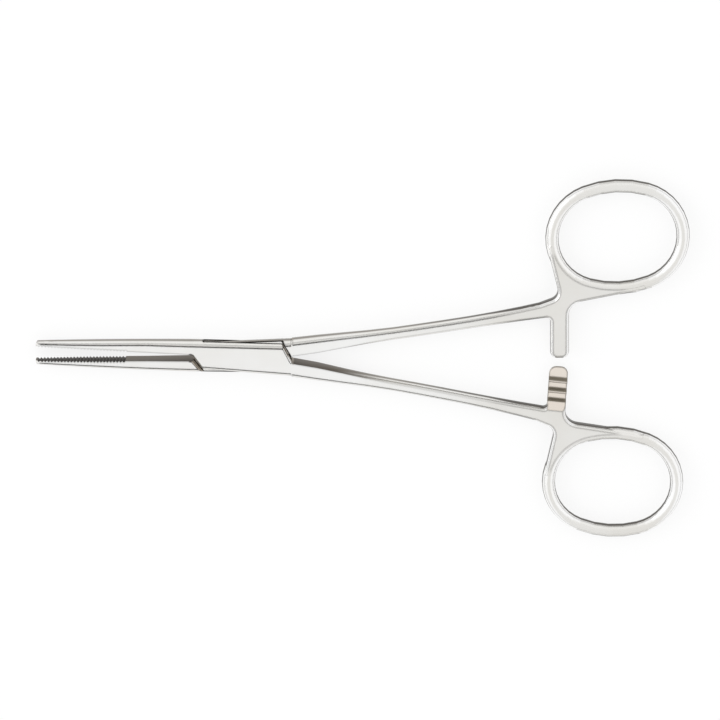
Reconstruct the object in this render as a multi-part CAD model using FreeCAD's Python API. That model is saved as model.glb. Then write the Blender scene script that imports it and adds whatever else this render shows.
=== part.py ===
import FreeCAD, Part
import math
import os

from FreeCAD import Vector

# A straight box-lock haemostatic forceps, lying flat. The pivot axis is the Z axis, the tips point
# to -X, and the box lock rests on Z = 0. Each half is drawn closed about the X axis, with its
# sections about the middle plane, and is then turned out by half of the opening at rest.

# Driving dimensions, in millimetres and degrees
tip_reach = 43.9            # pivot to the jaw tips
rest_opening = 4.0          # angle between the halves as they lie
box_thickness = 4.0
box_half_width_front = 3.15
box_half_width_rear = 3.75
box_reach = 10.9            # pivot to the ends of the box

tip_thickness = 2.1
jaw_thickness = 3.35
jaw_taper_length = 17.0     # the jaw reaches that thickness this far from its tip
jaw_swell_length = 11.0     # and grows to the box's thickness over this length
tip_width = 1.1             # one jaw, gripping face to outer side
tip_corner = 0.95           # rounding of the outer corner, seen from above
tip_nose = 0.55             # and of the upper and lower ones, seen from the side
jaw_root_reach = 8.0        # pivot to where the jaw runs out inside the box
grip_gap_tip = 0.02         # half of the gap between the closed jaws at their tips
grip_gap_root = 0.35        # the same at the box, so that the tips meet first
crease_angle = 40.0         # a rounded side meets the flat face this far from upright

serration_length = 19.6     # only the front of the jaw is serrated
serration_pitch = 0.70
serration_depth = 0.34

cheek_front_angle = 38.0    # direction that the front cheek's end faces, from the -X axis
cheek_front_reach = 8.15    # pivot to that end
cheek_rear_angle = 29.0     # the same at the rear, from the +X axis
cheek_rear_reach = 9.3
cheek_bevel = 0.22
shoulder_front_clearance = 0.20     # cheek's end to the shoulder of the other half, closed
shoulder_rear_clearance = 0.15
shoulder_front_bevel = 0.22
tongue_thickness = 1.44
tongue_side_clearance = 0.03
tongue_radius = 8.6
tongue_end_clearance = 0.15
pin_radius = 1.5
pin_running_clearance = 0.03

handle_thickness = 2.95     # shank and web are ground to this
shank_root_gap = 0.40       # half of the gap between the closed shanks at the box
shank_root_length = 4.0     # the shank starts this far inside the box
shank_root_width = 3.5
shank_waist_width = 2.6
shank_end_width = 3.6
shank_neck_start = 15.0     # the shank narrows and thins between these two
shank_neck_end = 33.0
shank_flare_length = 18.0   # and widens again over this length
shank_end_reach = 65.0
shank_end_offset = 9.6      # middle of the shank from the X axis, there
shank_bow = 0.5             # how far the shank's middle line sags towards the other shank

female_ring_from_bar = 13.35        # middle of the ratchet bar to the middle of the ring, along X
female_ring_from_shank = 14.8       # end of the shank's middle line to the middle of the ring, along Y
female_ring_tilt = 0.8
male_ring_from_bar = 12.25          # the rings are bent by hand, so they differ a little
male_ring_from_shank = 15.95
male_ring_tilt = 2.3
ring_hole_length = 24.9
ring_hole_width = 19.9
ring_hole_end_radius = 9.45
ring_bar = 2.8              # diameter of the round bar
ring_stretch = 10.0         # the bar follows its curve in steps of this many degrees

web_overlap = 2.5           # the web starts this far before the shank's end
web_edge_round = 1.2
web_grinding = 0.15         # taken off each rounded face, which leaves a crease
web_inset = 0.25            # the web starts this far inside the shank and the ring
web_meet_angle = 184.0      # directions from the ring's middle between which the web joins it
web_leave_angle = 296.0
web_notch_rise = 3.0        # the notch between shank and ring, above the shank's end
web_notch_radius = 2.2
web_heel_rise = 1.35        # where the bar's back runs into the ring, above the shank's end
web_heel_radius = 3.0
web_toe_radius = 0.8

bar_from_shank = 2.9        # end of the shank to the middle of the ratchet bar
bar_width = 4.0
bar_past_axis = 1.18        # how far the bar's end crosses the X axis, closed
bar_end_radius = 1.5
ratchet_teeth = 3
ratchet_pitch = 2.37
ratchet_depth = 0.75
ratchet_ramp = 0.6          # length of a tooth's ramp
ratchet_land = 0.45         # flat on the crest of a tooth
ratchet_middle_y = 3.58     # foot of the middle tooth's ramp
ratchet_run_out = 1.75      # length of the slope from the last crest up to the web's face

# Places that follow from them
web_start = shank_end_reach - web_overlap
bar_centre_x = shank_end_reach + bar_from_shank
female_ring = (bar_centre_x + female_ring_from_bar, shank_end_offset + female_ring_from_shank,
               female_ring_tilt)
male_ring = (bar_centre_x + male_ring_from_bar, shank_end_offset + male_ring_from_shank,
             male_ring_tilt)
past_box = 2 * box_reach
past_all = 2 * (tip_reach + shank_end_reach + ring_hole_length)


def vector(x, y, z=0.0):
    return Vector(x, y, z)


def swept(corners, along):
    """The body that a flat outline with these corners sweeps when it moves along a vector."""
    return Part.Face(Part.makePolygon(corners + corners[:1])).extrude(along)


def prism(points, low, high):
    """A plate with this outline, between two heights."""
    return swept([vector(x, y, low) for x, y in points], vector(0, 0, high - low))


def square_plate(half_side, low, high):
    return Part.makeBox(2 * half_side, 2 * half_side, high - low, vector(-half_side, -half_side, low))


def turned(shape, degrees):
    copy = shape.copy()
    copy.rotate(vector(0, 0), vector(0, 0, 1), degrees)
    return copy


def mirrored(shape):
    """The same shape on the other side of the X axis."""
    return shape.mirror(vector(0, 0), vector(0, 1))


def opposite(shape):
    """The same shape turned half round about the pivot."""
    return turned(shape, 180)


def level_slab(thickness):
    """Everything between two level planes that are this far apart."""
    return square_plate(past_all, -thickness / 2, thickness / 2)


def eased(x, start, end):
    """0 before start and 1 after end, with a smooth rise between them."""
    share = min(1.0, max(0.0, (x - start) / (end - start)))
    return share * share * (3 - 2 * share)


# Sections across a jaw, the box or a shank, about the middle plane
def side_bulge(thickness):
    """How far a round side stands out past the edge of the flat face."""
    radius = thickness / 2 / math.cos(math.radians(crease_angle))
    return radius * (1 - math.sin(math.radians(crease_angle)))


def section(x, inner, outer, thickness, inner_round):
    """A closed section from the inner side to the outer one, with flat faces above and below.

    inner_round is 0 for a flat inner side and 1 for one as round as the outer side.
    """
    height = thickness / 2
    outer_flat = outer - side_bulge(thickness)
    inner_flat = inner + side_bulge(thickness) * inner_round
    a = vector(x, inner_flat, height)
    b = vector(x, outer_flat, height)
    c = vector(x, outer_flat, -height)
    d = vector(x, inner_flat, -height)
    inner_edge = Part.makeLine(d, a)
    if inner_round > 0:
        inner_edge = Part.Arc(d, vector(x, inner, 0), a).toShape()
    return Part.Wire([Part.makeLine(a, b),
                      Part.Arc(b, vector(x, outer, 0), c).toShape(),
                      Part.makeLine(c, d),
                      inner_edge])


def loft(section_at, start, end, stretches):
    """A body through sections evenly spaced from start to end, straight from each to the next."""
    wires = [section_at(start + (end - start) * i / stretches) for i in range(stretches + 1)]
    return Part.makeLoft(wires, True, True)


def box_half_width(x):
    share = (x + box_reach) / (2 * box_reach)
    return box_half_width_front + share * (box_half_width_rear - box_half_width_front)


def box_section(x):
    return section(x, -box_half_width(x), box_half_width(x), box_thickness, 1.0)


def grip_offset(x):
    """The gripping face's distance from the X axis: the closed jaws part towards the box."""
    share = (x + tip_reach) / (tip_reach - box_reach)
    return grip_gap_tip + share * (grip_gap_root - grip_gap_tip)


# The jaw of the half whose jaw lies on the +Y side
def jaw_outer(x):
    share = (x + tip_reach) / (tip_reach - box_reach)
    return tip_width + (box_half_width_front - tip_width) * share * (1.25 - 0.25 * share)


def jaw_height(x):
    """Thickness of the jaw: thin at the tip, then even, and as thick as the box where it joins it."""
    taper = math.sin(math.pi / 2 * min(1.0, (x + tip_reach) / jaw_taper_length))
    swell = eased(x, -box_reach - jaw_swell_length, -box_reach)
    thickness = tip_thickness + (jaw_thickness - tip_thickness) * taper
    return thickness + (box_thickness - jaw_thickness) * swell


def jaw_section(x):
    return section(x, grip_offset(x), jaw_outer(x), jaw_height(x), 0)


def jaw_root_section(x):
    return section(x, grip_offset(x), box_half_width(x), box_thickness, 0)


def corner_waste(radius):
    """What rounds off an upright corner at the origin, of a body towards +X and -Y."""
    slant = radius * math.sqrt(0.5)
    arc = Part.Arc(vector(0, -radius), vector(radius - slant, slant - radius), vector(radius, 0))
    outline = Part.Wire([arc.toShape(),
                         Part.makeLine(vector(radius, 0), vector(radius, radius)),
                         Part.makeLine(vector(radius, radius), vector(-radius, radius)),
                         Part.makeLine(vector(-radius, radius), vector(-radius, -radius)),
                         Part.makeLine(vector(-radius, -radius), vector(0, -radius))])
    face = Part.Face(outline)
    face.translate(vector(0, 0, -box_thickness))
    return face.extrude(vector(0, 0, 2 * box_thickness))


def tip_waste():
    """What is taken off the jaw's outer, upper and lower corners at its tip."""
    outer = corner_waste(tip_corner)
    outer.translate(vector(-tip_reach, jaw_outer(tip_corner - tip_reach)))
    upper = corner_waste(tip_nose)
    upper.rotate(vector(0, 0), vector(1, 0), 90)
    upper.translate(vector(-tip_reach, 0, jaw_height(tip_nose - tip_reach) / 2))
    lower = upper.mirror(vector(0, 0), vector(0, 0, 1))
    return [outer, upper, lower]


# V grooves straight across the gripping face
def serrations(first):
    """The grooves as one comb, for a face on the +Y side; first is where the first one opens."""
    count = int((serration_length - first) / serration_pitch)
    points = []
    for i in range(count):
        x = -tip_reach + first + i * serration_pitch
        points.append((x, grip_offset(x)))
        middle = x + serration_pitch / 2
        points.append((middle, grip_offset(middle) + serration_depth))
    x = -tip_reach + first + count * serration_pitch
    points.append((x, grip_offset(x)))
    points.append((x, -tip_width))
    points.append((-tip_reach + first, -tip_width))
    return prism(points, -box_thickness, box_thickness)


# The shank, drawn on the +Y side
def shank_middle(x):
    start = shank_root_gap + shank_root_width / 2
    share = (x - box_reach) / (shank_end_reach - box_reach)
    chord = start + (shank_end_offset - start) * share
    return chord - 4 * shank_bow * share * (1 - share)


def shank_width(x):
    neck = eased(x, shank_neck_start, shank_neck_end)
    flare = max(0.0, 1 - (shank_end_reach - x) / shank_flare_length)
    width = shank_root_width + (shank_waist_width - shank_root_width) * neck
    return width + (shank_end_width - shank_waist_width) * flare * flare


def shank_section(x):
    thinning = eased(x, box_reach, shank_neck_end)
    thickness = box_thickness + (handle_thickness - box_thickness) * thinning
    middle = shank_middle(x)
    half = shank_width(x) / 2
    return section(x, middle - half, middle + half, thickness, 0.05 + 0.95 * thinning)


def shank_root_section(x):
    return section(x, shank_root_gap, box_half_width(x), box_thickness, 0.05)


# The finger ring: an oval of four arcs, drawn on the +Y side
def ring_path():
    """Half length, half width, end radius and side radius of the bar's middle line."""
    half_bar = ring_bar / 2
    a = ring_hole_length / 2 + half_bar
    b = ring_hole_width / 2 + half_bar
    end = ring_hole_end_radius + half_bar
    side = ((a - end) ** 2 + b ** 2 - end ** 2) / (2 * (b - end))
    return a, b, end, side


def place_on_ring(shape, seat):
    """Take a shape from the origin to a ring's middle, given as (x, y, tilt)."""
    x, y, tilt = seat
    shape.rotate(vector(0, 0), vector(0, 0, 1), tilt)
    shape.translate(vector(x, y))
    return shape


def ring_joint_angle():
    """Where an end arc meets a side arc, seen from the middle of the ring."""
    a, b, end, side = ring_path()
    slope = math.atan2(side - b, a - end)
    return math.degrees(math.atan2(end * math.sin(slope), a - end + end * math.cos(slope)))


def ring_point(seat, degrees, offset):
    """The point in this direction from the ring's middle, outside the middle line by an offset."""
    a, b, end, side = ring_path()
    across = math.cos(math.radians(degrees))
    along = math.sin(math.radians(degrees))
    from_long_axis = math.degrees(math.atan2(abs(along), abs(across)))
    if from_long_axis < ring_joint_angle():
        reach = (a - end) * abs(across) + math.sqrt((end + offset) ** 2 - ((a - end) * along) ** 2)
    else:
        reach = math.sqrt((side + offset) ** 2 - ((side - b) * across) ** 2) - (side - b) * abs(along)
    return place_on_ring(Part.Vertex(reach * across, reach * along, 0), seat).Point


def ring(seat):
    """Four bent pieces of round bar, one for each arc of the oval."""
    a, b, end, side = ring_path()
    half_turn = math.degrees(math.atan2(side - b, a - end))
    side_turn = 180 - 2 * half_turn
    pieces = [bent_bar(a - end, 0, end, -half_turn, 2 * half_turn),
              bent_bar(0, b - side, side, half_turn, side_turn),
              bent_bar(end - a, 0, end, 180 - half_turn, 2 * half_turn),
              bent_bar(0, side - b, side, 180 + half_turn, side_turn)]
    return place_on_ring(pieces[0].fuse(pieces[1:]), seat)


def bent_bar(x, y, radius, start, turn):
    """Round bar on an arc about (x, y), from a direction on, in short straight stretches."""
    half = ring_bar / 2
    top, bottom = vector(radius, 0, half), vector(radius, 0, -half)
    circle = Part.Wire([Part.Arc(top, vector(radius + half, 0), bottom).toShape(),
                        Part.Arc(bottom, vector(radius - half, 0), top).toShape()])
    stretches = math.ceil(turn / ring_stretch)
    piece = Part.makeLoft([turned(circle, start + turn * i / stretches) for i in range(stretches + 1)],
                          True, True)
    piece.translate(vector(x, y))
    return piece


# The web joins shank, ring and ratchet bar
def rounded_chain(points):
    """Edges from the first point to the last, with the corner radius that each point gives."""
    edges = []
    here = vector(*points[0][:2])
    for i in range(1, len(points) - 1):
        before = vector(*points[i - 1][:2])
        corner = vector(*points[i][:2])
        after = vector(*points[i + 1][:2])
        back = (before - corner).normalize()
        on = (after - corner).normalize()
        half = back.getAngle(on) / 2
        radius = points[i][2]
        reach = radius / math.tan(half)
        start = corner + back * reach
        end = corner + on * reach
        centre = corner + (back + on).normalize() * (radius / math.sin(half))
        middle = centre + (corner - centre).normalize() * radius
        edges.append(Part.makeLine(here, start))
        edges.append(Part.Arc(start, middle, end).toShape())
        here = end
    edges.append(Part.makeLine(here, vector(*points[-1][:2])))
    return edges


def web(seat):
    half_bar = bar_width / 2
    start_middle = shank_middle(web_start)
    start_half = shank_width(web_start) / 2 - web_inset
    start_low = vector(web_start, start_middle - start_half)
    start_high = vector(web_start, start_middle + start_half)
    toe_y = shank_middle(bar_centre_x - half_bar) - shank_end_width / 2
    heel_y = shank_end_offset + web_heel_rise
    skin = ring_bar / 2 - web_inset
    meet = ring_point(seat, web_meet_angle, skin)
    leave = ring_point(seat, web_leave_angle, skin)
    back_and_bar = rounded_chain([
        (leave.x, leave.y),
        (bar_centre_x + half_bar, heel_y, web_heel_radius),
        (bar_centre_x + half_bar, -bar_past_axis, bar_end_radius),
        (bar_centre_x - half_bar, -bar_past_axis, bar_end_radius),
        (bar_centre_x - half_bar, toe_y, web_toe_radius),
        (start_low.x, start_low.y)])
    notch = rounded_chain([
        (start_high.x, start_high.y),
        (bar_centre_x, shank_end_offset + web_notch_rise, web_notch_radius),
        (meet.x, meet.y)])
    joint = 180 + ring_joint_angle()
    high, corner, low = [ring_point(seat, degrees, 0)
                         for degrees in (web_meet_angle, joint, web_leave_angle)]
    high_middle = ring_point(seat, (web_meet_angle + joint) / 2, 0)
    low_middle = ring_point(seat, (web_leave_angle + joint) / 2, 0)
    hidden = [Part.makeLine(start_low, start_high),
              Part.makeLine(meet, high),
              Part.Arc(high, high_middle, corner).toShape(),
              Part.Arc(corner, low_middle, low).toShape(),
              Part.makeLine(low, leave)]
    face = Part.Face(Part.Wire(Part.__sortEdges__(back_and_bar + notch + hidden)))
    half = handle_thickness / 2 + web_grinding
    face.translate(vector(0, 0, -half))
    plate = face.extrude(vector(0, 0, 2 * half))
    middles = [edge.CenterOfMass for edge in back_and_bar + notch]
    round_edges = [edge for edge in plate.Edges if over_one_of(edge, middles)]
    rounded = plate.makeFillet(min(web_edge_round, 0.9 * start_half), round_edges)
    return rounded.common(level_slab(handle_thickness))


def over_one_of(edge, middles):
    """Whether the edge runs level, right above or below one of these points."""
    box = edge.BoundBox
    centre = edge.CenterOfMass
    near = [m for m in middles if math.hypot(m.x - centre.x, m.y - centre.y) < 0.001]
    return box.ZLength < 0.001 and bool(near)


# The ratchet: ramps that face the way the other bar comes from, on one face of the bar
def ratchet_profile():
    """The teeth seen along the X axis, from the middle tooth's foot, as (y, z) from the bar's end on."""
    crest = ratchet_depth / 2
    valley = -crest
    middle_tooth = (ratchet_teeth - 1) / 2
    profile = []
    for i in range(ratchet_teeth):
        foot = (i - middle_tooth) * ratchet_pitch
        top = foot + ratchet_ramp
        profile.extend([(foot, valley), (top, crest)])
        if i < ratchet_teeth - 1:
            profile.extend([(top + ratchet_land, crest), (top + ratchet_land, valley)])
    slope = (handle_thickness / 2 - crest) / ratchet_run_out
    profile.append((top + (box_thickness - crest) / slope, box_thickness))
    return profile


def ratchet_waste():
    """What is cut from the upper side of a bar that ends on the -Y side of the X axis."""
    reach = math.hypot(bar_centre_x, ratchet_middle_y)
    lean = math.degrees(math.atan2(ratchet_middle_y, bar_centre_x))
    profile = ratchet_profile()
    past_end = profile[0][0] - 2 * (ratchet_pitch + bar_past_axis)
    profile = [(past_end, profile[0][1])] + profile + [(past_end, box_thickness)]
    corners = [vector(reach - bar_width, y, z) for y, z in profile]
    return turned(swept(corners, vector(2 * bar_width, 0)), lean)


# One half before the box lock is cut, with its jaw on the +Y side and its ring on the -Y side
def blank(ring_seat):
    shank = loft(shank_section, box_reach, shank_end_reach, 10)
    shank_root = loft(shank_root_section, box_reach - shank_root_length, box_reach, 1)
    handle = shank.fuse([shank_root, web(ring_seat), ring(ring_seat)])
    jaw = loft(jaw_section, -tip_reach, -box_reach, 7)
    jaw_root = loft(jaw_root_section, -box_reach, -jaw_root_reach, 1)
    box = loft(box_section, -box_reach, box_reach, 1)
    whole = jaw.cut(tip_waste()).fuse([jaw_root, box, mirrored(handle)])
    return whole.common(level_slab(box_thickness))


# The box lock
def beyond(degrees, reach, bevel):
    """Everything further than reach from the pivot, in one direction.

    At the flat faces of the box it starts nearer by the bevel, or further if that is negative.
    """
    start = box_thickness / 2 - abs(bevel)
    near = reach - math.copysign(box_thickness - start, bevel)
    profile = [(near, box_thickness), (reach, start), (reach, -start), (near, -box_thickness),
               (past_all, -box_thickness), (past_all, box_thickness)]
    return turned(swept([vector(x, -past_all, z) for x, z in profile], vector(0, 2 * past_all)), degrees)


def other_quarter():
    """In front of the pivot and past the gripping face, on the side away from a +Y jaw."""
    return prism([(-past_box, grip_offset(-past_box)), (0, grip_offset(0)), (0, -past_box),
                  (-past_box, -past_box)], -box_thickness, box_thickness)


def root_space(radius, side):
    """Past the tongue's end, from one half's gripping face on: side is 1 for the +Y half's, else -1."""
    front = prism([(-past_box, side * grip_offset(-past_box)), (0, side * grip_offset(0)),
                   (0, past_box), (-past_box, past_box)], -box_thickness, box_thickness)
    return front.fuse(opposite(front)).cut(pivot_cylinder(radius))


def pivot_cylinder(radius):
    return Part.makeCylinder(radius, 2 * box_thickness, vector(0, 0, -box_thickness))


def female_half():
    """The half with the box: two cheeks with the slot for the tongue between them."""
    front_end = beyond(180 + cheek_front_angle, cheek_front_reach, cheek_bevel).common(other_quarter())
    rear_end = beyond(cheek_rear_angle, cheek_rear_reach, cheek_bevel).common(opposite(other_quarter()))
    half_slot = tongue_thickness / 2 + tongue_side_clearance
    slot = square_plate(past_box, -half_slot, half_slot)
    slot = slot.cut(root_space(tongue_radius + tongue_end_clearance, 1))
    body = blank(female_ring).cut([front_end, rear_end]).cut(slot)
    body = body.cut(pivot_cylinder(pin_radius))
    body = body.cut(serrations(0.0))
    return body.cut(mirrored(ratchet_waste()))


def male_half():
    """The half with the tongue between its two shoulders."""
    front = beyond(180 + cheek_front_angle, cheek_front_reach + shoulder_front_clearance,
                   -shoulder_front_bevel)
    rear = beyond(cheek_rear_angle, cheek_rear_reach + shoulder_rear_clearance, 0)
    half_tongue = tongue_thickness / 2
    over = square_plate(past_box, half_tongue, box_thickness)
    under = square_plate(past_box, -box_thickness, -half_tongue)
    cheek_space = over.fuse(under).cut([front, rear])
    body = mirrored(blank(male_ring)).cut(cheek_space).cut(root_space(tongue_radius, -1))
    body = body.cut(pivot_cylinder(pin_radius + pin_running_clearance))
    body = body.cut(mirrored(serrations(serration_pitch / 2)))
    return body.cut(ratchet_waste().mirror(vector(0, 0), vector(0, 0, 1)))


def pivot_pin():
    return Part.makeCylinder(pin_radius, box_thickness, vector(0, 0, -box_thickness / 2))


def placed(shape, degrees):
    """The half turned out to its place at rest, and the whole lifted onto Z = 0."""
    done = turned(shape, degrees)
    done.translate(vector(0, 0, box_thickness / 2))
    return done


def main():
    nodes = {"female_half": placed(female_half(), -rest_opening / 2),
             "male_half": placed(male_half(), rest_opening / 2),
             "pivot_pin": placed(pivot_pin(), 0)}
    os.makedirs("parts", exist_ok=True)
    for name, shape in nodes.items():
        solids = shape.Solids
        print(name, "solids", len(solids), "valid", shape.isValid(),
              "volume", round(shape.Volume, 2), "box", shape.BoundBox)
        shape.exportStep("parts/" + name + ".step")


main()
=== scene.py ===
import math

import bpy
from mathutils import Matrix, Vector


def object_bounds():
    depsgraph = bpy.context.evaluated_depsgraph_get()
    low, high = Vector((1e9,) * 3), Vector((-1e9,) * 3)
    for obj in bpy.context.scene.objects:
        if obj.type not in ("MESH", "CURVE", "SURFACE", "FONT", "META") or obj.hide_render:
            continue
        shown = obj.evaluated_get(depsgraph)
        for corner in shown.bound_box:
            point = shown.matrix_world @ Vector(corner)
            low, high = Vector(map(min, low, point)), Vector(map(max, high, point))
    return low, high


# The looks of a straight box-lock haemostatic forceps that lies on a white studio table.
# Lengths are in millimetres, and turned into metres where Blender takes them.
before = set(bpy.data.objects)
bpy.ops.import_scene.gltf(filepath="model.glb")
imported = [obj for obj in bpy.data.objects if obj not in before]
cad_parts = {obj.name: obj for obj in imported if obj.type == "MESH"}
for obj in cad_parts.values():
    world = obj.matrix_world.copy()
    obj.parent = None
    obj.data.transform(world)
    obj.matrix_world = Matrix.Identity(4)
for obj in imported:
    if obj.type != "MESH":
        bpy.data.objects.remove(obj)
startBounds = [list(corner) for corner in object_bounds()]
print("frame loaded")

metre = 1000.0
white = "#FFFFFF"

# Colours and finish of the steel
steel = {
    "face": "#F1F1F0",             # satin ground faces, on the box and the jaws
    "faceAtRing": "#E6E5E2",       # and on the handles
    "paintedSideLight": "#EFEEEB",       # painted light on the polished round sides
    "paintedSideShade": "#918D87",        # painted shade on the upright part of the sides
    "paintedSideShadeAtRing": "#5E5B57",      # painted shade on the handles' upright sides
    "paintedGlint": white,                # painted glint, white on the rings' sides that look along the forceps
    "crease": "#2A2724",           # painted shade along the edge between face and side
    "gripAndPaintedShade": "#766F67",             # milled gripping faces, darkened with painted shade of the gap between the jaws
    "paintedGrooveShade": "#3F3A35",           # painted shade on the walls of their grooves
    "milledAndPaintedShade": "#6E675E",           # milled inner sides of the shanks beside the box, darkened with painted shade of the other shank that fades as they part
    "shoulderAndPaintedShade": "#B8AFA3",         # milled shoulders before the box's cheeks, and the cheeks' front ends, darkened with painted shade of the gap there
    "paintedBevelHighlight": white,                # painted highlight on the polished bevel of the cheeks' rear ends
    "toothRampAndPaintedShade": "#8A8377",        # steep side of the ratchet's teeth, milled and darkened with painted shade
    "toothLand": "#EAE2D9",        # level tops of the teeth and the slope behind them
    "worn": "#F9F8F6",             # the warmer end of the slow changes of tone
    "toneLength": 14.0,            # size of those changes
    "toneRange": (0.35, 0.65),     # the part of the noise over which the tone goes from worn to fresh
    "faceRoughness": 0.30,
    "sideRoughness": 0.17,
    "milledRoughness": 0.42,
    "roughnessSpread": 0.08,       # how much the grinding marks change the roughness
    "markDepth": 0.02,
    "markStrength": 0.12,
    "marksAcross": 9.0,            # grinding marks per millimetre across the forceps
    "marksAlong": 0.22,            # and along it
    "edgeWidth": 0.20,             # how far edges are rounded in the shading
    "edgeWidthAtRing": 0.60,
    "edgeSamples": 8,              # rays that look for an edge from each point
    "creaseWidth": 0.50,
    "creaseAtShank": 0.80,         # how dark the crease stays along the shank
    "creaseAtRing": 0.45,
    "creaseInside": 0.25,          # the share that is left of it on the inner edges
    "shadeToMinusY": 0.22,         # how much sooner the painted shade darkens sides that look to -Y
    "shadeAtRing": 0.18,           # and the rings' sides
}

restTurn = 2.0                     # degrees that each half is turned out at rest
middleZ = metre * (startBounds[0][2] + startBounds[1][2]) / 2
tip = metre * startBounds[0][0]
boxEnd = 10.9                      # where the box ends and the shank starts

# Where each finish lies on one half: what is read, where the mask starts and where it is full. Places
# are seen from the pivot on the half as it was drawn, closed about the X axis, and "own" counts towards
# its handle's side. Of the surface's normal, "up" is the upright part, "along" the part along the
# forceps, "in" the part towards the handle's side and "diagonal" along times sideways.
areas = {
    "onHandle": [("x", 30.0, 60.0)],
    "onRing": [("x", 52.0, 60.0)],
    "pastPin": [("fromPivot", 1.9, 2.2)],
    "facesMinusY": [("toMinusY", 0.10, 0.30)],
    # painted light on the round sides
    "paintedLit": [("paintedLightLevel", 0.18, 0.42)],
    "level": [("up", 0.80, 0.99)],
    # painted glint on the rings' sides
    "paintedGlint": [("along", 0.12, 0.35), ("up", 0.35, 0.55)],
    # grip, groove, milled, the cheeks' ends and the teeth's ramps get painted shade, and bevel a painted
    # highlight
    "gripAndPaintedShade": [("x", -9.4, -9.8), ("up", 0.60, 0.40), ("in", 0.15, 0.30)],
    "paintedGrooveShade": [("along", 0.15, 0.45)],
    "milledAndPaintedShade": [("x", 9.5, 9.9), ("x", 33.0, 18.0), ("up", 0.75, 0.45), ("in", -0.15, -0.30)],
    "cheekEnd": [("fromPivotX", 6.4, 6.6), ("fromPivotX", 11.3, 11.1), ("diagonal", 0.10, 0.16)],
    "paintedBevelHighlight": [("x", 0.0, 1.0), ("up", 0.45, 0.55)],
    "teeth": [("x", 65.7, 65.9), ("x", 70.1, 69.9), ("own", -1.4, -1.2), ("own", 8.4, 8.2),
              ("above", -0.80, -0.70), ("above", 1.47, 1.42)],
    "toothRampAndPaintedShade": [("up", 0.78, 0.70), ("along", 0.50, 0.30)],
    "toothLand": [("up", 0.78, 0.83)],
    "outerEdge": [("outward", -0.03, 0.02)],
    "box": [("fromPivotX", boxEnd + 0.4, boxEnd)],
    # painted shade along the crease
    "crease": [("bend", 0.9995, 0.990), ("x", tip + 0.2, tip + 1.4), ("fromBoxEnd", 0.05, 0.20),
               ("own", 23.0, 21.5), ("x", 83.0, 80.0)],
}
creaseFades = (12.0, 30.0)         # x over which the crease goes from full strength to the shank's
satinFrom, satinFull = 0.80, 0.98  # upright part of the normal, for the roughness


# The linear colour of an sRGB hex code
def linear(hexColour):
    channels = [int(hexColour[i:i + 2], 16) / 255 for i in (1, 3, 5)]
    return [c / 12.92 if c <= 0.04045 else ((c + 0.055) / 1.055) ** 2.4 for c in channels] + [1]


# Adds a node and gives its outputs. Each input is a value or the socket that it comes from. A Mix node
# mixes inputs 2 and 3 where they are numbers, and inputs 6 and 7 into output 2 where they are colours.
def addNode(tree, kind, settings, inputs):
    node = tree.nodes.new(kind)
    for name, value in settings.items():
        setattr(node, name, value)
    for socket, value in inputs.items():
        if isinstance(value, bpy.types.NodeSocket):
            tree.links.new(value, node.inputs[socket])
        else:
            node.inputs[socket].default_value = value
    return node.outputs


def newMaterial(name):
    material = bpy.data.materials.new(name)
    material.use_nodes = True
    material.node_tree.nodes.clear()
    return material, material.node_tree


# The mask of an area: 1 inside and 0 outside, with soft steps between. It narrows a mask that is given.
def areaMask(tree, at, name, mask=1.0):
    for value, start, full in areas[name]:
        step = addNode(tree, "ShaderNodeMapRange", {"interpolation_type": "SMOOTHSTEP"}, {
            "Value": at[value], "From Min": start, "From Max": full})[0]
        mask = addNode(tree, "ShaderNodeMath", {"operation": "MULTIPLY"}, {0: mask, 1: step})[0]
    return mask


# Lays finishes over a colour in turn, each by its own mask
def layered(tree, colour, finishes):
    for mask, finish in finishes:
        top = linear(finish) if isinstance(finish, str) else finish
        colour = addNode(tree, "ShaderNodeMix", {"data_type": "RGBA"}, {0: mask, 6: colour, 7: top})[2]
    return colour


# Object coordinates in millimetres, turned about the pivot
def millimetres(tree, degrees):
    place = addNode(tree, "ShaderNodeTexCoord", {}, {})["Object"]
    return addNode(tree, "ShaderNodeMapping", {}, {
        0: place, "Rotation": (0, 0, math.radians(degrees)), "Scale": (metre, metre, metre)})[0]


# A normal as the half sees it, with Y towards the side of its own handle
def ownNormal(tree, normal, gripSide):
    turned = addNode(tree, "ShaderNodeVectorTransform", {
        "vector_type": "NORMAL", "convert_from": "WORLD", "convert_to": "OBJECT"}, {0: normal})[0]
    return addNode(tree, "ShaderNodeVectorMath", {"operation": "MULTIPLY"}, {
        0: turned, 1: (1, gripSide, 1)})[0]


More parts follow.
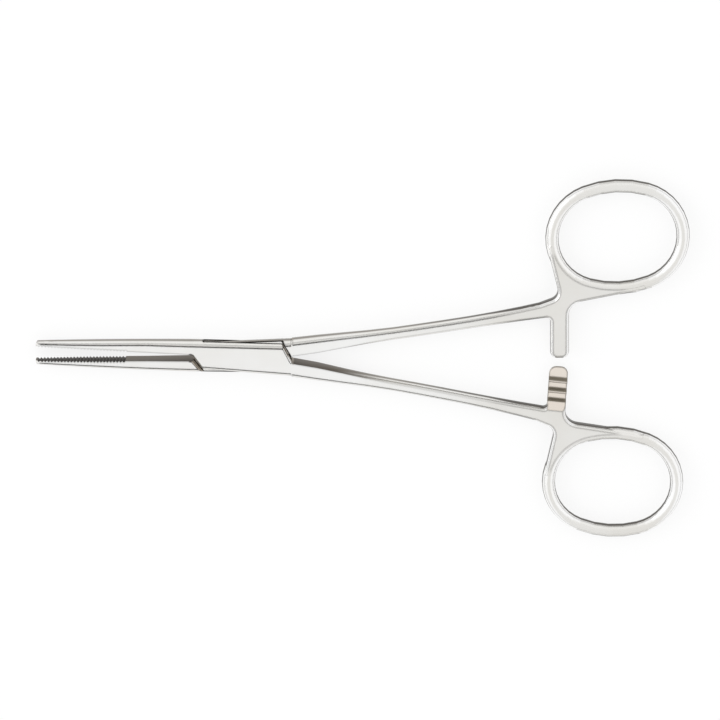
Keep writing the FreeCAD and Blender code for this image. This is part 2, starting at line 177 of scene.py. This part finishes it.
# What the areas read at a point of one half. "above" counts from the middle towards the side of the
# ratchet's teeth.
def readPoint(tree, gripSide):
    inMm = millimetres(tree, -gripSide * restTurn)
    mirrored = addNode(tree, "ShaderNodeVectorMath", {"operation": "MULTIPLY_ADD"}, {
        0: inMm, 1: (1, gripSide, -gripSide), 2: (0, 0, gripSide * middleZ)})[0]
    x, own, above = addNode(tree, "ShaderNodeSeparateXYZ", {}, {0: mirrored})
    level = addNode(tree, "ShaderNodeVectorMath", {"operation": "MULTIPLY"}, {0: inMm, 1: (1, 1, 0)})[0]
    normal = addNode(tree, "ShaderNodeNewGeometry", {}, {})["Normal"]
    facing = ownNormal(tree, normal, gripSide)
    inward = addNode(tree, "ShaderNodeSeparateXYZ", {}, {0: facing})[1]
    sizes = addNode(tree, "ShaderNodeVectorMath", {"operation": "ABSOLUTE"}, {0: facing})[0]
    along, sideways, up = addNode(tree, "ShaderNodeSeparateXYZ", {}, {0: sizes})
    pastBox = addNode(tree, "ShaderNodeMath", {"operation": "SUBTRACT"}, {0: x, 1: boxEnd})[0]
    at = {
        "inMm": inMm, "normal": normal, "x": x, "own": own, "above": above, "along": along, "up": up,
        "in": inward,
        "toMinusY": addNode(tree, "ShaderNodeMath", {"operation": "MULTIPLY"}, {0: inward, 1: -gripSide})[0],
        "diagonal": addNode(tree, "ShaderNodeMath", {"operation": "MULTIPLY"}, {0: along, 1: sideways})[0],
        "fromPivot": addNode(tree, "ShaderNodeVectorMath", {"operation": "LENGTH"}, {0: level})["Value"],
        "fromPivotX": addNode(tree, "ShaderNodeMath", {"operation": "ABSOLUTE"}, {0: x})[0],
        "fromBoxEnd": addNode(tree, "ShaderNodeMath", {"operation": "ABSOLUTE"}, {0: pastBox})[0],
    }
    for name in ("onHandle", "onRing", "pastPin"):
        at[name] = areaMask(tree, at, name)
    return at


# Painted light and shade by slope: satin where the surface is level, painted light where it is round, and
# painted shade where it is steep
def paintedSlopeLight(tree, at):
    paintedLightLevel = at["up"]
    facesMinusY = areaMask(tree, at, "facesMinusY")
    for mask, shade in ((facesMinusY, steel["shadeToMinusY"]), (at["onRing"], steel["shadeAtRing"])):
        paintedLightLevel = addNode(tree, "ShaderNodeMath", {"operation": "MULTIPLY_ADD"}, {
            0: mask, 1: -shade, 2: paintedLightLevel})[0]
    at["paintedLightLevel"] = paintedLightLevel
    face = layered(tree, linear(steel["face"]), [(at["onHandle"], steel["faceAtRing"])])
    return layered(tree, linear(steel["paintedSideShade"]), [
        (at["onHandle"], steel["paintedSideShadeAtRing"]),
        (areaMask(tree, at, "paintedLit"), steel["paintedSideLight"]),
        (areaMask(tree, at, "level"), face),
        (areaMask(tree, at, "paintedGlint", at["onRing"]), steel["paintedGlint"])])


# The painted shade of a dark line where a flat face turns into a side. It is darkest at the box and the jaws
# and faint on inner edges, and leaves out the pin, the tip, the box's end and the place where web and ring
# meet.
def creaseMask(tree, at, gripSide):
    wide = addNode(tree, "ShaderNodeBevel", {"samples": steel["edgeSamples"]}, {
        "Radius": steel["creaseWidth"] / metre})[0]
    at["bend"] = addNode(tree, "ShaderNodeVectorMath", {"operation": "DOT_PRODUCT"}, {
        0: wide, 1: at["normal"]})["Value"]

    # Outer edges lean to the handle's side behind the pivot, and away from it in front
    leaning = addNode(tree, "ShaderNodeSeparateXYZ", {}, {0: ownNormal(tree, wide, gripSide)})[1]
    behind = addNode(tree, "ShaderNodeMath", {"operation": "SIGN"}, {0: at["x"]})[0]
    at["outward"] = addNode(tree, "ShaderNodeMath", {"operation": "MULTIPLY"}, {0: leaning, 1: behind})[0]
    outer = areaMask(tree, at, "outerEdge")
    for mask in (areaMask(tree, at, "box"), at["onRing"]):
        outer = addNode(tree, "ShaderNodeMath", {"operation": "MAXIMUM"}, {0: outer, 1: mask})[0]
    share = addNode(tree, "ShaderNodeMapRange", {}, {"Value": outer, "To Min": steel["creaseInside"]})[0]

    strength = addNode(tree, "ShaderNodeMapRange", {"interpolation_type": "SMOOTHSTEP"}, {
        "Value": at["x"], "From Min": creaseFades[0], "From Max": creaseFades[1],
        "To Min": 1.0, "To Max": steel["creaseAtShank"]})[0]
    strength = addNode(tree, "ShaderNodeMix", {"data_type": "FLOAT"}, {
        0: at["onRing"], 2: strength, 3: steel["creaseAtRing"]})[0]
    for part in (share, at["pastPin"]):
        strength = addNode(tree, "ShaderNodeMath", {"operation": "MULTIPLY"}, {0: strength, 1: part})[0]
    return areaMask(tree, at, "crease", strength)


# The places that a cutter left, with painted light laid on them: painted shade darkens the gripping faces,
# their grooves, the milled sides, the shoulders and the teeth's ramps, and the cheeks' bevels carry a
# painted highlight.
# Only the half with the box has cheeks, with a bevel on their rear ends.
def machinedFacesAndPaintedLight(tree, at, hasCheeks):
    gripAndPaintedShade = areaMask(tree, at, "gripAndPaintedShade")
    teeth = areaMask(tree, at, "teeth")
    cheekEnd = areaMask(tree, at, "cheekEnd")
    paintedBevelHighlight = areaMask(tree, at, "paintedBevelHighlight", cheekEnd) if hasCheeks else 0.0
    return {
        "gripAndPaintedShade": gripAndPaintedShade,
        "paintedGrooveShade": areaMask(tree, at, "paintedGrooveShade", gripAndPaintedShade),
        "milledAndPaintedShade": areaMask(tree, at, "milledAndPaintedShade"),
        "shoulderAndPaintedShade": addNode(tree, "ShaderNodeMath", {"operation": "SUBTRACT"}, {0: cheekEnd, 1: paintedBevelHighlight})[0],
        "paintedBevelHighlight": paintedBevelHighlight,
        "toothRampAndPaintedShade": areaMask(tree, at, "toothRampAndPaintedShade", teeth),
        "toothLand": areaMask(tree, at, "toothLand", teeth),
    }


# Slow changes of tone from polishing by hand, and belt grinding marks along the forceps. Real marks are
# some hundredths of a millimetre apart, and these are drawn coarser so that they show.
def handFinish(tree, inMm, colour, roughness):
    slow = addNode(tree, "ShaderNodeTexNoise", {}, {
        "Vector": inMm, "Scale": 1 / steel["toneLength"], "Detail": 3.0})["Fac"]
    low, high = steel["toneRange"]
    fresh = addNode(tree, "ShaderNodeMapRange", {}, {"Value": slow, "From Min": low, "From Max": high})[0]
    shade = layered(tree, linear(steel["worn"]), [(fresh, white)])
    colour = addNode(tree, "ShaderNodeMix", {"data_type": "RGBA", "blend_type": "MULTIPLY"}, {
        0: 1.0, 6: colour, 7: shade})[2]
    stretch = (steel["marksAlong"], steel["marksAcross"], steel["marksAcross"])
    stretched = addNode(tree, "ShaderNodeMapping", {}, {"Vector": inMm, "Scale": stretch})[0]
    marks = addNode(tree, "ShaderNodeTexNoise", {}, {
        "Vector": stretched, "Scale": 1.0, "Detail": 4.0})["Fac"]
    spread = steel["roughnessSpread"]
    lowest = addNode(tree, "ShaderNodeMath", {"operation": "SUBTRACT"}, {0: roughness, 1: spread / 2})[0]
    roughness = addNode(tree, "ShaderNodeMath", {"operation": "MULTIPLY_ADD"}, {
        0: marks, 1: spread, 2: lowest})[0]
    return colour, roughness, marks


# Stainless steel, drop forged, then ground and polished: the flat faces look satin and the milled places
# dull. The brightness of the round sides, the dark steep sides, creases and grooves, the glints and the
# bevel's highlight, and part of the darkness of the milled places are painted light and shade in the colour.
# gripSide is the side of Y that this half's gripping face looks to, and its handle lies on that side too.
def forgedSteel(name, gripSide):
    material, tree = newMaterial(name)
    at = readPoint(tree, gripSide)
    masks = machinedFacesAndPaintedLight(tree, at, gripSide < 0)
    masks["crease"] = creaseMask(tree, at, gripSide)
    # painted shade and highlights go over the painted slope light in turn, with the machined finishes
    order = ("toothLand", "crease", "gripAndPaintedShade", "paintedGrooveShade", "milledAndPaintedShade", "shoulderAndPaintedShade", "paintedBevelHighlight", "toothRampAndPaintedShade")
    colour = layered(tree, paintedSlopeLight(tree, at), [(masks[finish], steel[finish]) for finish in order])
    roughness = addNode(tree, "ShaderNodeMapRange", {"interpolation_type": "SMOOTHSTEP"}, {
        "Value": at["up"], "From Min": satinFrom, "From Max": satinFull,
        "To Min": steel["sideRoughness"], "To Max": steel["faceRoughness"]})[0]
    for finish in ("gripAndPaintedShade", "milledAndPaintedShade", "shoulderAndPaintedShade", "toothRampAndPaintedShade"):
        roughness = addNode(tree, "ShaderNodeMix", {"data_type": "FLOAT"}, {
            0: masks[finish], 2: roughness, 3: steel["milledRoughness"]})[0]
    colour, roughness, marks = handFinish(tree, at["inMm"], colour, roughness)

    # Rounded edges, more on the rings and none round the flush pin
    radius = addNode(tree, "ShaderNodeMapRange", {}, {
        "Value": at["onRing"], "To Min": steel["edgeWidth"] / metre,
        "To Max": steel["edgeWidthAtRing"] / metre})[0]
    radius = addNode(tree, "ShaderNodeMath", {"operation": "MULTIPLY"}, {0: radius, 1: at["pastPin"]})[0]
    soft = addNode(tree, "ShaderNodeBevel", {"samples": steel["edgeSamples"]}, {"Radius": radius})[0]
    relief = addNode(tree, "ShaderNodeBump", {}, {
        "Strength": steel["markStrength"], "Distance": steel["markDepth"] / metre, "Height": marks,
        "Normal": soft})[0]
    shader = addNode(tree, "ShaderNodeBsdfPrincipled", {}, {
        "Base Color": colour, "Metallic": 1.0, "Roughness": roughness, "Normal": relief})[0]
    addNode(tree, "ShaderNodeOutputMaterial", {}, {"Surface": shader})
    return material


# Stainless steel rod: the rivet's ends, ground flush with the box so that they look the same as its face
def groundPin():
    material, tree = newMaterial("groundPin")
    inMm = millimetres(tree, restTurn)
    colour, roughness = handFinish(tree, inMm, linear(steel["face"]), steel["faceRoughness"])[:2]
    shader = addNode(tree, "ShaderNodeBsdfPrincipled", {}, {
        "Base Color": colour, "Metallic": 1.0, "Roughness": roughness})[0]
    addNode(tree, "ShaderNodeOutputMaterial", {}, {"Surface": shader})
    return material


def paint(node, material):
    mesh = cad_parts[node].data
    mesh.materials.clear()
    mesh.materials.append(material)


paint("female_half", forgedSteel("forgedSteelFemale", -1))
paint("male_half", forgedSteel("forgedSteelMale", 1))
paint("pivot_pin", groundPin())
print("steel painted")

sheet = {
    "colour": white,
    "halfSide": 3000.0,
    "glow": 0.78,                  # how far the paper's own white covers the shadow
}


# Matt white studio paper, which glows a little so that its shadows stay pale
def paper():
    material, tree = newMaterial("paper")
    matt = addNode(tree, "ShaderNodeBsdfDiffuse", {}, {"Color": linear(sheet["colour"])})[0]
    glow = addNode(tree, "ShaderNodeEmission", {}, {"Color": linear(sheet["colour"]), "Strength": 1.0})[0]
    ray = addNode(tree, "ShaderNodeLightPath", {}, {})
    seen = 0.0
    for kind in ("Is Camera Ray", "Is Glossy Ray", "Is Transmission Ray"):
        seen = addNode(tree, "ShaderNodeMath", {"operation": "ADD"}, {0: seen, 1: ray[kind]})[0]
    share = addNode(tree, "ShaderNodeMath", {"operation": "MULTIPLY"}, {0: seen, 1: sheet["glow"]})[0]
    surface = addNode(tree, "ShaderNodeMixShader", {}, {0: share, 1: matt, 2: glow})[0]
    addNode(tree, "ShaderNodeOutputMaterial", {}, {"Surface": surface})
    return material


def makeFloor():
    side = sheet["halfSide"] / metre
    mesh = bpy.data.meshes.new("floor")
    corners = [(-side, -side, 0), (side, -side, 0), (side, side, 0), (-side, side, 0)]
    mesh.from_pydata(corners, [], [(0, 1, 2, 3)])
    mesh.materials.append(paper())
    floor = bpy.data.objects.new("floor", mesh)
    bpy.context.scene.collection.objects.link(floor)


light = {
    "horizon": "#B8B8B8",          # a bright room all round, a little darker towards the horizon
    "walls": "#FBFBFB",
    "ceiling": white,
    "wallsFrom": 0.35,             # height of the walls' colour, from the horizon at 0 to straight up at 1
    "roomStrength": 1.0,
    "keyPower": 4.0,
    "keyPlace": (-1200.0, 350.0, 650.0),
    "keyTarget": (20.0, 0.0, 0.0),
    "keySize": (1000.0, 700.0),
}


def makeRoom():
    world = bpy.data.worlds.new("room")
    bpy.context.scene.world = world
    world.use_nodes = True
    tree = world.node_tree
    tree.nodes.clear()
    direction = addNode(tree, "ShaderNodeTexCoord", {}, {})["Generated"]
    height = addNode(tree, "ShaderNodeSeparateXYZ", {}, {0: direction})[2]
    toWalls = addNode(tree, "ShaderNodeMapRange", {}, {"Value": height, "From Max": light["wallsFrom"]})[0]
    toCeiling = addNode(tree, "ShaderNodeMapRange", {}, {"Value": height, "From Min": light["wallsFrom"]})[0]
    colour = layered(tree, linear(light["horizon"]), [
        (toWalls, light["walls"]), (toCeiling, light["ceiling"])])
    back = addNode(tree, "ShaderNodeBackground", {}, {"Color": colour, "Strength": light["roomStrength"]})[0]
    addNode(tree, "ShaderNodeOutputWorld", {}, {"Surface": back})


# A large soft lamp beyond the jaws
def makeKeyLight():
    data = bpy.data.lights.new("key", "AREA")
    data.shape = "RECTANGLE"
    data.size, data.size_y = (side / metre for side in light["keySize"])
    data.energy = light["keyPower"]
    place = Vector(light["keyPlace"]) / metre
    target = Vector(light["keyTarget"]) / metre
    lamp = bpy.data.objects.new("key", data)
    lamp.location = place
    lamp.rotation_euler = (target - place).to_track_quat("-Z", "Y").to_euler()
    bpy.context.scene.collection.objects.link(lamp)


view = {
    "distance": 850.0,
    "tilt": 20.0,                  # degrees from straight above, towards +Y
    "roll": 1.08,
    "aim": (25.35, -0.40, 2.0),
    "pixelsPerMillimetre": 4.682,  # at the aim
    "imageSide": 720,
    "sensorWidth": 36.0,
    "clipStart": 50.0,
    "clipEnd": 20000.0,
}


def makeCamera():
    tilt = math.radians(view["tilt"])
    roll = math.radians(view["roll"])
    back = Vector((0, math.sin(tilt), math.cos(tilt)))
    up = Vector((0, math.cos(tilt), -math.sin(tilt)))
    right = Vector((1, 0, 0))
    turnedRight = right * math.cos(roll) + up * math.sin(roll)
    turnedUp = up * math.cos(roll) - right * math.sin(roll)
    place = (Vector(view["aim"]) + back * view["distance"]) / metre
    data = bpy.data.cameras.new("camera")
    data.sensor_width = view["sensorWidth"]
    data.lens = view["pixelsPerMillimetre"] * view["distance"] * view["sensorWidth"] / view["imageSide"]
    data.clip_start = view["clipStart"] / metre
    data.clip_end = view["clipEnd"] / metre
    camera = bpy.data.objects.new("camera", data)
    camera.matrix_world = Matrix((
        (turnedRight.x, turnedUp.x, back.x, place.x),
        (turnedRight.y, turnedUp.y, back.y, place.y),
        (turnedRight.z, turnedUp.z, back.z, place.z),
        (0, 0, 0, 1)))
    bpy.context.scene.collection.objects.link(camera)
    bpy.context.scene.camera = camera


makeFloor()
makeRoom()
makeKeyLight()
makeCamera()
bpy.context.scene.view_settings.view_transform = "Standard"
print("floor, light and camera set")
